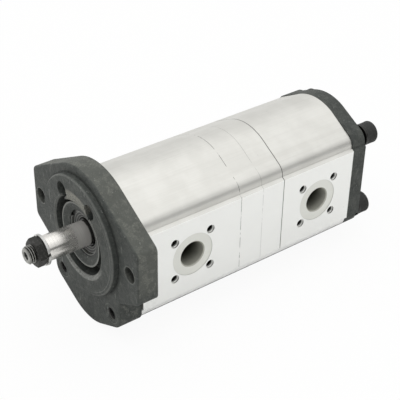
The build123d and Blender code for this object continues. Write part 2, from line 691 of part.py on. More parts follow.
def bearing_liners(front):
    rear = front + BLOCK_LENGTH
    places = [(0, 0), (0, -CENTRE_DISTANCE)]
    return each(places, lambda x, z: ring(BLOCK_BORE_RADIUS, LINER_BORE_RADIUS, front, rear, x, z))


def band_solid(start, thickness, gear_side):
    end = start + gear_side * thickness
    return slab(seal_band(), min(start, end), max(start, end))


# Shaft seal and its circlip
def shaft_seal():
    """Lip seal: outer case, back web and a lip that stops just short of the shaft."""
    rear = SHAFT_SEAL_FRONT_Y + SHAFT_SEAL_LENGTH
    case_inner = SLEEVE_BORE_RADIUS - SHAFT_SEAL_WALL
    lip = JOURNAL_RADIUS + SHAFT_SEAL_LIP_GAP
    return turned(
        (SLEEVE_BORE_RADIUS, SHAFT_SEAL_FRONT_Y),
        (SLEEVE_BORE_RADIUS, rear),
        (case_inner, rear),
        (case_inner, SHAFT_SEAL_FRONT_Y + SHAFT_SEAL_WALL),
        (lip + SHAFT_SEAL_WALL, SHAFT_SEAL_FRONT_Y + 2 * SHAFT_SEAL_WALL),
        (lip + SHAFT_SEAL_WALL / 2, rear),
        (lip, SHAFT_SEAL_FRONT_Y + 2 * SHAFT_SEAL_WALL),
        (lip + SHAFT_SEAL_WALL / 2, SHAFT_SEAL_FRONT_Y + SHAFT_SEAL_WALL / 2),
        (case_inner, SHAFT_SEAL_FRONT_Y),
    )


def seal_circlip():
    """Internal retaining ring, open on one side."""
    rear = SHAFT_SEAL_FRONT_Y
    front = rear - CIRCLIP_THICKNESS
    outer = SLEEVE_BORE_RADIUS + CIRCLIP_GROOVE_DEPTH
    clip = ring(outer, CIRCLIP_INNER_RADIUS, front, rear)
    gap = Box(CIRCLIP_OPENING, CIRCLIP_THICKNESS, 2 * outer, align=(Align.CENTER, Align.MIN, Align.MAX))
    return clip - Rot(0, CIRCLIP_TURN, 0) * Pos(0, front, 0) * gap


# The nodes, each a list of separate solids
def stage_parts(name, stage_y, width):
    """Bearing blocks, liners, pressure seals and backup strips of one stage."""
    stage_end = stage_y + 2 * BLOCK_LENGTH + width + 2 * SIDE_CLEARANCE
    found = {}
    for end, block_y, face_y, gear_side in (
        ("front", stage_y, stage_y, 1),
        ("rear", stage_end - BLOCK_LENGTH, stage_end, -1),
    ):
        found[f"{name}_{end}_bearing_block"] = [bearing_block(block_y, gear_side)]
        found[f"{name}_{end}_bearing_liners"] = bearing_liners(block_y)
        found[f"{name}_{end}_pressure_seal"] = [band_solid(face_y, SEAL_THICKNESS, gear_side)]
        strip_y = face_y + gear_side * SEAL_THICKNESS
        found[f"{name}_{end}_backup_strip"] = [band_solid(strip_y, BACKUP_STRIP_THICKNESS, gear_side)]
    return found


def all_parts():
    parts = {
        "front_cover": [front_cover()],
        "front_body": [pump_body(FRONT_BODY_Y, FRONT_PLATE_Y)],
        "front_stage_end_plate": [front_stage_end_plate()],
        "rear_stage_front_plate": [rear_stage_front_plate()],
        "rear_body": [pump_body(REAR_BODY_Y, REAR_COVER_Y)],
        "rear_cover": [rear_cover()],
        "tie_bolts": each(BOLT_PLACES, tie_bolt),
        "tie_bolt_washers": each(BOLT_PLACES, tie_bolt_washer),
        "drive_shaft": [drive_shaft()],
        "woodruff_key": [woodruff_key()],
        "spring_washer": [spring_washer()],
        "shaft_nut": [shaft_nut()],
        "drive_coupling": [drive_coupling()],
        "front_driven_gear": [driven_gear(FRONT_BODY_Y, FRONT_GEAR_WIDTH)],
        "rear_drive_gear": [rear_drive_gear()],
        "rear_driven_gear": [driven_gear(REAR_BODY_Y, REAR_GEAR_WIDTH)],
        "shaft_seal": [shaft_seal()],
        "seal_circlip": [seal_circlip()],
        "front_cover_seal": [housing_seal(FRONT_BODY_Y, -1)],
        "front_end_plate_seal": [housing_seal(FRONT_PLATE_Y, 1)],
        "plate_seal_ring": [plate_seal()],
        "rear_front_plate_seal": [housing_seal(REAR_BODY_Y, -1)],
        "rear_cover_seal": [housing_seal(REAR_COVER_Y, 1)],
        "front_cover_dowels": dowels(FRONT_BODY_Y),
        "front_end_plate_dowels": dowels(FRONT_PLATE_Y),
        "plate_joint_dowels": dowels(REAR_PLATE_Y),
        "rear_front_plate_dowels": dowels(REAR_BODY_Y),
        "rear_cover_dowels": dowels(REAR_COVER_Y),
    }
    parts.update(stage_parts("front_stage", FRONT_BODY_Y, FRONT_GEAR_WIDTH))
    parts.update(stage_parts("rear_stage", REAR_BODY_Y, REAR_GEAR_WIDTH))
    return parts


for node, solids in all_parts().items():
    whole = Compound(children=[piece for solid in solids for piece in solid.solids()])
    whole.label = node
    export_step(whole, f"parts/{node}.step")
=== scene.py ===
import json
import math

import bmesh
import bpy
import numpy as np
from mathutils import Matrix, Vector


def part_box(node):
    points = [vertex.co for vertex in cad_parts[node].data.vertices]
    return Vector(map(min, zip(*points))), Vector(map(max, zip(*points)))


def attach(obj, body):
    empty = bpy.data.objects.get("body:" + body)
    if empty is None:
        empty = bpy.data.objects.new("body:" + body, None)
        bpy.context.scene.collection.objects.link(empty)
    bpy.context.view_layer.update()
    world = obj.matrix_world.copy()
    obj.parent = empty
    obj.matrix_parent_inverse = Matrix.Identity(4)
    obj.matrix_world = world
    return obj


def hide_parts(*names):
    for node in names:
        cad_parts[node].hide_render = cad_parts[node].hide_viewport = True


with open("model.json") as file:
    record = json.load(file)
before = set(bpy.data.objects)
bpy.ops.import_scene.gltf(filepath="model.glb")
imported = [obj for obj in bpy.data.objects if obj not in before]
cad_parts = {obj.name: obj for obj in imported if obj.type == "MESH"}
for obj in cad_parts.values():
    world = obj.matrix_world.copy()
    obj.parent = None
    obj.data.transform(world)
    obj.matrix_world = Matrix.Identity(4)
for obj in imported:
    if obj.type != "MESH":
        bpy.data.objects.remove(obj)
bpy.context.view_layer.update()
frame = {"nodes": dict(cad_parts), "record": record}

# The dressed tandem gear pump. Sizes are in millimetres, and MM turns them into Blender's metres.
MM = 0.001
nodes = frame["nodes"]


def low(node, axis):
    """Lower end of a node's box on one axis, in millimetres."""
    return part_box(node)[0][axis] / MM


def high(node, axis):
    """Upper end of a node's box on one axis, in millimetres."""
    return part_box(node)[1][axis] / MM


# Places read from the frame
JOINTS_Y = [low("front_body", 1), high("front_body", 1), high("front_stage_end_plate", 1)]
JOINTS_Y += [low("rear_body", 1), high("rear_body", 1)]
PAD_X = high("front_body", 0)
MIDDLE_Z = (low("front_body", 2) + high("front_body", 2)) / 2
PORTS_Y = [(low(body, 1) + high(body, 1)) / 2 for body in ("front_body", "rear_body")]
SHAFT_END_Y = low("drive_shaft", 1)
NUT_REAR_Y = high("shaft_nut", 1)
WASHER_REAR_Y = high("spring_washer", 1)
PILOT_FACE_Y = low("front_cover", 1)
HEAD_Y = high("tie_bolt_washers", 1)
HEAD_END_Y = high("tie_bolts", 1)
FLOOR_Z = low("front_cover", 2)

# Sizes of the ports
SUCTION_RADIUS = 9.0
SUCTION_HOLE_SPACING = 28.284
PRESSURE_HOLE_SPACING = 24.75
PORT_HOLE_RADIUS = 3.1
PORT_CHAMFER = 0.6
PORT_FACE_MARGIN = 6.7
PORT_FACE_RADIUS = SUCTION_RADIUS + PORT_FACE_MARGIN

# Sizes of the front cover
PILOT_RADIUS = 41.275
RECESS_RADIUS = 27.2
SLEEVE_RADIUS = 22.3
SLEEVE_SETBACK = 2.5
SLEEVE_RING_RADIUS = 16.5
WEB_HALF_WIDTH = 14.0
FLANGE_THICKNESS = 14.8
FLANGE_ROUND_RADIUS = 47.2
FLANGE_HOLE_X = 53.2
FLANGE_HOLE_RADIUS = 5.55
SPOT_FACE_RADIUS = 7.0
SPOT_FACE_DEPTH = 0.3
TAPPED_CORE_RADIUS = 4.3
SEAL_RIB_RADII = (10.3, 12.0, 13.7)
CIRCLIP_EDGE_RADIUS = 14.8

# Sizes of the tie bolts
BOLT_X = 30.0
BOLT_HALF_HEIGHT = 30.0
BOLT_RADIUS = 5.0
HEAD_RADIUS = high("tie_bolts", 0) - BOLT_X

# Sizes of the shaft's threaded end
THREAD_PITCH = 1.5
THREAD_MAJOR = 5.95
THREAD_DEPTH = 0.92
TIP_TAPER = 1.15
CENTRE_DRILL_RADIUS = 2.9
CENTRE_DRILL_BORE_RADIUS = 1.3
CENTRE_DRILL_DEPTH = 6.0

# Joint lines, one entry for each joint from the front cover to the rear cover
JOINT_HALF_WIDTHS = (0.20, 0.22, 0.18, 0.42, 0.20)
JOINT_DARKNESS = (0.8, 1.0, 0.5, 1.0, 0.9)
JOINT_BROKEN = (False, True, True, False, False)

# Heights on the sides of the bodies, below the lands
SKIRT_TOP_Z = MIDDLE_Z - 28.0
UNDERSIDE_Z = MIDDLE_Z - 34.3


# Shader maths
class Link:
    """One socket of a node tree; arithmetic on it adds Math nodes."""

    def __init__(self, graph, socket):
        self.graph = graph
        self.socket = socket

    def _math(self, operation, first, second):
        return self.graph.node("ShaderNodeMath", {"operation": operation}, {0: first, 1: second})

    def __add__(self, other):
        return self._math("ADD", self, other)

    def __radd__(self, other):
        return self._math("ADD", other, self)

    def __sub__(self, other):
        return self._math("SUBTRACT", self, other)

    def __rsub__(self, other):
        return self._math("SUBTRACT", other, self)

    def __mul__(self, other):
        return self._math("MULTIPLY", self, other)

    def __rmul__(self, other):
        return self._math("MULTIPLY", other, self)

    def __pow__(self, other):
        return self._math("POWER", self, other)

    def most(self, other):
        """The higher of two values."""
        return self._math("MAXIMUM", self, other)

    def size(self):
        """The value without its sign."""
        return self._math("ABSOLUTE", self, 0.0)

    def step(self, start, end):
        """0 below start, 1 above end, smooth between; start above end turns it round."""
        if start > end:
            return 1 - self.step(end, start)
        values = {"Value": self, "From Min": start, "From Max": end}
        return self.graph.node("ShaderNodeMapRange", {"interpolation_type": "SMOOTHSTEP"}, values)

    def band(self, middle, half):
        """1 near the middle value, fading out beyond half from it."""
        return (self - middle).size().step(half * 1.3, half * 0.7)


def highest(masks):
    """The highest of several masks at each point."""
    top = masks[0]
    for mask in masks[1:]:
        top = top.most(mask)
    return top


def distance(along, across, centre_along=0.0, centre_across=0.0):
    """Distance from an axis in the plane of two coordinates: the root of the sum of the squares."""
    a = along - centre_along
    b = across - centre_across
    return (a * a + b * b) ** 0.5


class Graph:
    """Adds nodes to a node tree."""

    def __init__(self, tree):
        self.tree = tree

    def node(self, kind, settings, values, out=0):
        """A node of one kind, with its settings made first, then the values or links of its sockets."""
        made = self.tree.nodes.new(kind)
        for setting, value in settings.items():
            if setting == "stops":
                ramp = made.color_ramp
                while len(ramp.elements) < len(value):
                    ramp.elements.new(1.0)
                for element, (position, colour) in zip(ramp.elements, value):
                    element.position = position
                    element.color = (*colour, 1.0)
            else:
                setattr(made, setting, value)
        for socket, value in values.items():
            if isinstance(value, Link):
                self.tree.links.new(value.socket, made.inputs[socket])
            else:
                made.inputs[socket].default_value = value
        return Link(self, made.outputs[out])

    def split(self, vector):
        """The three coordinates of a vector."""
        parts = self.tree.nodes.new("ShaderNodeSeparateXYZ")
        self.tree.links.new(vector.socket, parts.inputs[0])
        return [Link(self, parts.outputs[i]) for i in range(3)]


class Finish(Graph):
    """A procedural material on one Principled shader, with Object coordinates in millimetres."""

    def __init__(self, name, **constants):
        self.material = bpy.data.materials.new(name)
        self.material.use_nodes = True
        super().__init__(self.material.node_tree)
        self.shader = self.tree.nodes["Principled BSDF"]
        for socket, value in constants.items():
            self.shader.inputs[socket.replace("_", " ")].default_value = value
        coordinates = Link(self, self.tree.nodes.new("ShaderNodeTexCoord").outputs["Object"])
        to_millimetres = {0: coordinates, "Scale": 1 / MM}
        self.place = self.node("ShaderNodeVectorMath", {"operation": "SCALE"}, to_millimetres)
        self.x, self.y, self.z = self.split(self.place)
        self.heights = []

    def stretched(self, x, y, z):
        """The place with each coordinate times a factor; a small factor draws a pattern out along it."""
        return self.node("ShaderNodeVectorMath", {"operation": "MULTIPLY"}, {0: self.place, 1: (x, y, z)})

    def noise(self, grain, detail, roughness, vector=None, seed=0.0):
        """Noise with features about grain millimetres across."""
        where = self.place if vector is None else vector
        values = {"Vector": where, "W": seed, "Scale": 1.0 / grain, "Detail": detail, "Roughness": roughness}
        return self.node("ShaderNodeTexNoise", {"noise_dimensions": "4D"}, values)

    def dots(self, spacing, radius):
        """1 inside small round dots scattered about spacing millimetres apart."""
        values = {"Vector": self.place, "Scale": 1.0 / spacing, "Randomness": 1.0}
        from_dot = self.node("ShaderNodeTexVoronoi", {}, values)
        return from_dot.step(radius / spacing, radius / spacing * 0.5)

    def mix(self, factor, first, second):
        """Colour between first and second."""
        values = {0: factor, 6: first, 7: second}
        for socket in (6, 7):
            if isinstance(values[socket], tuple):
                values[socket] = (*values[socket], 1.0)
        return self.node("ShaderNodeMix", {"data_type": "RGBA"}, values, out=2)

    def set(self, socket, value):
        """Puts a value or a link on a socket of the shader."""
        if isinstance(value, Link):
            self.tree.links.new(value.socket, self.shader.inputs[socket])
        else:
            self.shader.inputs[socket].default_value = value

    def bump(self, height, depth):
        """Adds a surface relief, height running from 0 to 1 over depth millimetres."""
        self.heights.append(height * depth)

    def done(self, colour, roughness):
        """Joins colour, roughness and the sum of the reliefs to the shader."""
        self.set("Base Color", colour)
        self.set("Roughness", roughness)
        if self.heights:
            total = self.heights[0]
            for height in self.heights[1:]:
                total = total + height
            normal = self.node("ShaderNodeBump", {}, {"Strength": 1.0, "Distance": MM, "Height": total})
            self.set("Normal", normal)
        return self.material


# Finishes
def cast_iron_finish():
    """Sand casting under thin dark paint: scaly patches, pale specks, edges rubbed lighter, painted light and
    shade.
    """
    finish = Finish("cast_iron", Metallic=0.0, Specular_IOR_Level=0.35)
    x, y, z = finish.x, finish.y, finish.z
    coarse = finish.noise(9.0, 4.0, 0.6)
    middling = finish.noise(2.8, 3.0, 0.65, seed=43.0)
    grain = finish.noise(1.3, 5.0, 0.62, seed=3.0)
    fine = finish.noise(0.4, 3.0, 0.6, seed=7.0)
    specks = finish.noise(0.7, 2.0, 0.7, seed=11.0).step(0.67, 0.74)
    patches = finish.noise(5.0, 3.0, 0.6, seed=19.0).step(0.50, 0.62)
    scratches = finish.noise(1.4, 2.0, 0.6, finish.stretched(1.0, 1.0, 0.12), seed=23.0).step(0.66, 0.72)
    rough_patch = finish.noise(0.8, 3.0, 0.7, seed=29.0).step(0.36, 0.62)
    flakes = finish.noise(0.6, 3.0, 0.7, seed=37.0).step(0.45, 0.65)

    # Edges rubbed pale, partly painted highlight, on the pilot, the recess, the sleeve and round the holes
    from_axis = distance(x, z)
    spot_distance = distance(x.size(), z, BOLT_X, MIDDLE_Z - BOLT_HALF_HEIGHT)
    ear_distance = distance(x.size(), z, FLANGE_HOLE_X, 0.0)
    pilot_face = y.step(PILOT_FACE_Y + 1.6, PILOT_FACE_Y + 0.9)
    mounting_face = y.band(0.0, 0.8)
    sleeve_y = PILOT_FACE_Y + SLEEVE_SETBACK
    pilot_edge = from_axis.band(PILOT_RADIUS - 0.5, 0.5) * pilot_face
    # Painted highlight: a pale line on the right side of the pilot only
    pilot_highlight_line = from_axis.band(PILOT_RADIUS - 2.6, 0.2) * pilot_face * x.step(8.0, 30.0)
    recess_edge = from_axis.band(RECESS_RADIUS + 0.8, 0.75) * pilot_face
    # Painted highlight on the lower bevel of the recess, strongest at the bottom
    lower_bevel_highlight = from_axis.band(RECESS_RADIUS + 1.7, 1.6) * pilot_face * z.step(-8.0, -18.0)
    sleeve_ring = from_axis.band(SLEEVE_RING_RADIUS, 0.35) * y.band(sleeve_y, 0.6)
    sleeve_rim = from_axis.band(SLEEVE_RADIUS - 0.5, 0.6) * y.band(sleeve_y, 0.25)
    spot_edge = spot_distance.band(SPOT_FACE_RADIUS, 0.3) * mounting_face
    ear_edge = ear_distance.band(FLANGE_HOLE_RADIUS + 0.2, 0.3) * mounting_face
    rubbed = [pilot_edge * 0.3, pilot_highlight_line * 0.5, recess_edge * 0.4, lower_bevel_highlight * (0.35 + 0.9 * rough_patch)]
    rubbed += [sleeve_ring * 0.5, sleeve_rim * 0.8, spot_edge * 0.4, ear_edge * 0.5]
    rubbed = highest(rubbed) * (0.35 + 0.9 * grain)

    # The rough web above the sleeve, painted pale partly as a painted highlight, and scale, most of it on the
    # side of the flange
    web_relief_and_highlight = from_axis.band(RECESS_RADIUS + 0.8, 3.4) * x.size().step(WEB_HALF_WIDTH - 0.5, WEB_HALF_WIDTH - 4.0)
    web_relief_and_highlight = web_relief_and_highlight * z.step(5.0, 15.0) * y.step(2.0, 0.0) * (0.3 + 0.7 * rough_patch)
    rim_side = y.step(0.6, 1.6) * y.step(FLANGE_THICKNESS + 0.7, FLANGE_THICKNESS - 0.8)
    rim_side = rim_side * from_axis.step(FLANGE_ROUND_RADIUS - 3.2, FLANGE_ROUND_RADIUS - 1.2)
    scale = patches * (0.3 + flakes) * (0.25 + 0.75 * rim_side)

    colour = finish.mix(coarse.step(0.3, 0.7), (0.027, 0.031, 0.029), (0.046, 0.051, 0.047))
    colour = finish.mix(middling.step(0.50, 0.66) * 0.5, colour, (0.075, 0.081, 0.075))
    colour = finish.mix(grain.step(0.42, 0.72) * 0.5, colour, (0.080, 0.086, 0.080))
    # Painted light: the upper part of the flange's side is painted lighter, as lit from above
    colour = finish.mix(rim_side * z.step(-18.0, -6.0) * 0.5, colour, (0.115, 0.120, 0.105))
    colour = finish.mix(scale * 0.8, colour, (0.165, 0.170, 0.150))
    # The web painted pale: rough relief, partly a painted highlight
    colour = finish.mix(web_relief_and_highlight * 0.9, colour, (0.27, 0.265, 0.23))
    # Edges painted pale, partly as rubbed wear and partly as painted highlights
    colour = finish.mix(rubbed, colour, (0.25, 0.255, 0.24))
    colour = finish.mix((specks * 0.8).most(scratches * 0.5), colour, (0.34, 0.35, 0.33))
    # Painted shade in the corner at the foot of the pilot
    pilot_foot_shade = from_axis.band(PILOT_RADIUS + 0.5, 0.8) * y.band(0.0, 0.5)
    colour = finish.mix(pilot_foot_shade * 0.5, colour, (0.015, 0.017, 0.016))

    # Holes of the front cover: a painted glint at the mouth of a tapped hole and painted shade further in
    front_cover = y.step(JOINTS_Y[0] + 2.0, JOINTS_Y[0] + 1.0)
    tapped = spot_distance.step(TAPPED_CORE_RADIUS + 0.2, TAPPED_CORE_RADIUS + 0.1)
    tapped = tapped * y.step(SPOT_FACE_DEPTH, 0.8) * front_cover
    tapped_glint_and_shade_colour = finish.mix(y.step(0.5, 1.7), (0.20, 0.20, 0.19), (0.005, 0.005, 0.005))
    colour = finish.mix(tapped, colour, tapped_glint_and_shade_colour)
    # Painted shade inside the ear holes, darker further in
    ear_hole_shade = ear_distance.step(FLANGE_HOLE_RADIUS + 0.2, FLANGE_HOLE_RADIUS + 0.1)
    ear_hole_shade = ear_hole_shade * y.step(0.2, 4.0) * front_cover
    colour = finish.mix(ear_hole_shade * 0.75, colour, (0.008, 0.009, 0.008))

    finish.bump(grain, 0.32)
    finish.bump(fine, 0.09)
    finish.bump(coarse, 0.45)
    finish.bump(middling, 0.40)
    finish.bump(web_relief_and_highlight, 0.25)
    finish.bump(scale, 0.12)
    return finish.done(colour, 0.50 + grain * 0.22)


def aluminium_finish():
    """Drawn aluminium with fine lines along the pump, machined lands, ports and dark joint lines."""
    finish = Finish("body_aluminium")
    x, y, z = finish.x, finish.y, finish.z
    lines = finish.noise(0.5, 3.0, 0.6, finish.stretched(1.0, 0.012, 1.0))
    broad = finish.noise(3.5, 2.0, 0.5, finish.stretched(1.0, 0.02, 1.0), seed=5.0)
    cloud = finish.noise(14.0, 3.0, 0.55, seed=9.0)
    milled = finish.noise(0.45, 2.0, 0.5, finish.stretched(1.0, 1.0, 0.03), seed=2.0)
    pits = finish.dots(9.0, 0.35) * finish.noise(20.0, 1.0, 0.5, seed=31.0).step(0.45, 0.55)
    scuffs = finish.noise(1.2, 3.0, 0.7, finish.stretched(1.0, 0.12, 1.0), seed=13.0).step(0.70, 0.76)
    land = x.size().step(PAD_X - 0.12, PAD_X - 0.04)
    colour = finish.mix(cloud.step(0.35, 0.65), (0.655, 0.65, 0.625), (0.70, 0.695, 0.67))
    colour = finish.mix(lines.step(0.35, 0.7) * 0.15, colour, (0.52, 0.51, 0.48))
    colour = finish.mix(broad.step(0.45, 0.7) * 0.15, colour, (0.52, 0.51, 0.48))
    colour = finish.mix(land, colour, finish.mix(cloud, (0.90, 0.905, 0.895), (0.94, 0.945, 0.935)))
    colour = finish.mix(pits * 0.6, colour, (0.25, 0.25, 0.24))
    colour = finish.mix(scuffs * (1 - land) * 0.3, colour, (0.50, 0.49, 0.47))

    # Ports: spot face with a thin outline, bore painted darker with depth as shade, tapped holes with a
    # painted glint at the mouth
    depth = PAD_X - x.size()
    below = x.size().step(PAD_X - 0.2, PAD_X - 0.25)
    on_face = x.size().step(PAD_X - 1.2, PAD_X - 0.6)
    mouth_radius = SUCTION_RADIUS + PORT_CHAMFER
    from_ports = [distance(y, z, station, MIDDLE_Z) for station in PORTS_Y]
    spot = highest([away.step(PORT_FACE_RADIUS + 0.05, PORT_FACE_RADIUS - 0.05) for away in from_ports])
    spot = spot * below * on_face
    inside = highest([away.step(mouth_radius + 0.15, mouth_radius + 0.05) for away in from_ports]) * below
    outline = highest([away.band(PORT_FACE_RADIUS, 0.14) for away in from_ports]) * on_face
    bore_shade_colour = finish.mix(depth.step(1.0, 15.0), (0.46, 0.46, 0.41), (0.045, 0.046, 0.032))
    half = PRESSURE_HOLE_SPACING / 2 + (SUCTION_HOLE_SPACING - PRESSURE_HOLE_SPACING) / 2 * x.step(-1.0, 1.0)
    from_holes = [distance((y - station).size() - half, (z - MIDDLE_Z).size() - half) for station in PORTS_Y]
    tapped = highest([away.step(PORT_HOLE_RADIUS + 0.12, PORT_HOLE_RADIUS + 0.04) for away in from_holes])
    tapped = tapped * depth.step(0.0, 0.3)
    # Painted glint at the mouth of the tapped holes and painted shade deeper in
    tapped_glint_and_shade_colour = finish.mix(depth.step(0.9, 2.6), (0.80, 0.80, 0.78), (0.010, 0.010, 0.009))
    colour = finish.mix(spot * 0.7, colour, (0.83, 0.84, 0.80))
    colour = finish.mix(inside, colour, bore_shade_colour)
    colour = finish.mix(tapped, colour, tapped_glint_and_shade_colour)
    colour = finish.mix(outline * 0.35, colour, (0.42, 0.42, 0.40))

    # Joint lines, a little wavy and some of them broken
    wander = finish.noise(4.0, 3.0, 0.6, seed=41.0)
    joint_lines = []
    for station, wide, dark, broken in zip(JOINTS_Y, JOINT_HALF_WIDTHS, JOINT_DARKNESS, JOINT_BROKEN):
        line = (y - station - (wander - 0.5) * 0.25).size().step(wide, wide * 0.4) * dark
        if broken:
            line = line * finish.noise(5.0, 2.0, 0.5, seed=47.0 + station).step(0.38, 0.52)
        joint_lines.append(line)
    joint = highest(joint_lines)
    colour = finish.mix(joint * 0.92, colour, (0.05, 0.05, 0.045))

    # Below the lands the side is painted pale as painted light, and its lowest part is painted dark as
    # painted shade
    skirt_painted_light = x.size().step(PAD_X - 10.0, PAD_X - 8.0) * z.step(SKIRT_TOP_Z + 1.0, SKIRT_TOP_Z - 1.0)
    underside_shade = skirt_painted_light * z.step(UNDERSIDE_Z + 0.5, UNDERSIDE_Z - 0.5)
    colour = finish.mix(skirt_painted_light, colour, (0.93, 0.935, 0.93))
    colour = finish.mix(underside_shade * 0.9, colour, (0.07, 0.07, 0.07))

    finish.bump(lines * (1 - land), 0.010)
    finish.bump(milled * land, 0.010)
    finish.bump(broad, 0.02)
    finish.bump(1 - joint, 0.05)
    finish.set("Metallic", 1 - joint * 0.7 - inside * 0.75 - spot * 0.3 - skirt_painted_light * 0.3 - underside_shade * 0.3)
    return finish.done(colour, 0.38 + lines * 0.10 + land * 0.05 + spot * 0.10 + inside * 0.1)


def black_bolt_finish():
    """Black oxide with rubbed crests."""
    finish = Finish("tie_bolt_steel", Metallic=0.7)
    grain = finish.noise(0.6, 3.0, 0.6)
    rubbed = finish.noise(2.2, 3.0, 0.6, seed=4.0).step(0.55, 0.8)
    colour = finish.mix(rubbed * 0.5, (0.040, 0.041, 0.040), (0.12, 0.12, 0.115))
    finish.bump(grain, 0.03)
    return finish.done(colour, 0.42 + grain * 0.18)


def plated_finish(name, first, second, rough):
    """Plated steel with a faint grain and dull spots; near the heads of the tie bolts it is black."""
    finish = Finish(name, Metallic=1.0)
    grain = finish.noise(0.5, 3.0, 0.6)
    dull = finish.noise(2.5, 3.0, 0.6, seed=6.0)
    colour = finish.mix(dull.step(0.35, 0.7), first, second)
    colour = finish.mix(finish.y.step(HEAD_Y - 8.0, HEAD_Y - 6.0), colour, (0.05, 0.05, 0.048))
    finish.bump(grain, 0.015)
    return finish.done(colour, rough + dull * 0.15)


def shaft_finish():
    """Steel ground in fine rings; the threaded end is dull and dark; painted shade in thread roots, drilling
    and seal.
    """
    finish = Finish("shaft_steel", Metallic=1.0)
    y = finish.y
    rings = finish.noise(0.7, 2.0, 0.6, finish.stretched(0.02, 1.0, 0.02))
    stain = finish.noise(4.0, 3.0, 0.6, seed=8.0)
    thread = y.step(NUT_REAR_Y, NUT_REAR_Y - 0.5)
    in_seal_shade = y.step(0.4, 1.6)
    from_axis = distance(finish.x, finish.z)
    behind_end_face = y.step(SHAFT_END_Y + 0.4, SHAFT_END_Y + 0.6)
    thread_root_shade = from_axis.step(THREAD_MAJOR - 0.2, THREAD_MAJOR - 0.75) * behind_end_face
    drilling = from_axis.step(CENTRE_DRILL_RADIUS - 0.1, CENTRE_DRILL_RADIUS - 0.6)
    colour = finish.mix(stain.step(0.5, 0.8) * 0.25, (0.76, 0.74, 0.715), (0.60, 0.58, 0.55))
    colour = finish.mix(rings.step(0.45, 0.7) * 0.25, colour, (0.50, 0.485, 0.46))
    thread_colour = finish.mix(stain.step(0.35, 0.7), (0.24, 0.24, 0.23), (0.42, 0.42, 0.40))
    # Painted shade in the thread roots and in the centre drilling
    thread_colour = finish.mix(thread_root_shade.most(drilling) * 0.92, thread_colour, (0.012, 0.012, 0.012))
    colour = finish.mix(thread, colour, thread_colour)
    # Painted shade: the part inside the seal is painted dark
    colour = finish.mix(in_seal_shade, colour, (0.035, 0.035, 0.033))
    finish.set("Metallic", 1 - y.step(-18.0, -3.0) * 0.38)
    finish.bump(rings * (1 - thread), 0.010)
    return finish.done(colour, 0.20 + thread * 0.15 + stain * 0.03)


def nut_finish():
    """Dark phosphated steel, a little rubbed."""
    finish = Finish("nut_steel", Metallic=0.6)
    grain = finish.noise(0.5, 4.0, 0.65)
    rubbed = finish.noise(1.6, 3.0, 0.6, seed=14.0).step(0.5, 0.75)
    colour = finish.mix(rubbed * 0.6, (0.030, 0.030, 0.028), (0.11, 0.11, 0.105))
    finish.bump(grain, 0.05)
    return finish.done(colour, 0.40 + grain * 0.2)


def plain_finish(name, first, second, rough, metal, grain_size, relief, highlight_radii=()):
    """Inner pieces: two close tones, a grain and its relief, and pale rings round the shaft painted as
    highlights.
    """
    finish = Finish(name, Metallic=metal)
    grain = finish.noise(grain_size, 4.0, 0.6)
    colour = finish.mix(grain.step(0.3, 0.7), first, second)
    for radius in highlight_radii:
        # Painted highlight: a pale ring at each radius round the shaft
        ring = distance(finish.x, finish.z).band(radius, 0.22) * finish.y.step(4.0, 3.5) * grain
        colour = finish.mix(ring, colour, (0.33, 0.34, 0.32))
    finish.bump(grain, relief)
    return finish.done(colour, rough + grain * 0.12)


def bearing_block_finish():
    """Machined bearing alloy."""
    return plain_finish("block_alloy", (0.66, 0.66, 0.65), (0.76, 0.76, 0.75), 0.35, 1.0, 0.8, 0.01)


def liner_finish():
    """Plain bearing bronze."""
    return plain_finish("liner_bronze", (0.52, 0.36, 0.18), (0.62, 0.45, 0.24), 0.32, 1.0, 0.7, 0.01)


def seal_finish():
    """Black rubber, with painted highlights on the ribs of the shaft seal."""
    dark, pale = (0.014, 0.014, 0.014), (0.030, 0.030, 0.029)
    return plain_finish("seal_rubber", dark, pale, 0.5, 0.0, 0.5, 0.02, SEAL_RIB_RADII)


def backup_strip_finish():
    """Pale plastic behind the pressure seals."""
    return plain_finish("strip_plastic", (0.74, 0.71, 0.64), (0.83, 0.80, 0.73), 0.42, 0.0, 0.8, 0.01)


def circlip_finish():
    """Dark spring steel of the circlip, with a painted highlight on its inner edge, and of the key."""
    dark, pale = (0.016, 0.017, 0.017), (0.036, 0.036, 0.035)
    return plain_finish("spring_steel", dark, pale, 0.45, 0.3, 0.5, 0.01, (CIRCLIP_EDGE_RADIUS,))


FINISHES = {
    "cast_iron": cast_iron_finish(),
    "body_aluminium": aluminium_finish(),
    "tie_bolt_steel": black_bolt_finish(),
    "washer_steel": plated_finish("washer_steel", (0.50, 0.50, 0.49), (0.70, 0.70, 0.69), 0.28),
    "shaft_steel": shaft_finish(),
    "nut_steel": nut_finish(),
    "gear_steel": plated_finish("gear_steel", (0.52, 0.52, 0.51), (0.66, 0.66, 0.65), 0.25),
    "block_alloy": bearing_block_finish(),
    "liner_bronze": liner_finish(),
    "seal_rubber": seal_finish(),
    "strip_plastic": backup_strip_finish(),
    "spring_steel": circlip_finish(),
}


# Smooth shading for the imported pieces
SHADING_WELD = 1e-6
SHADING_ANGLE = 28.0


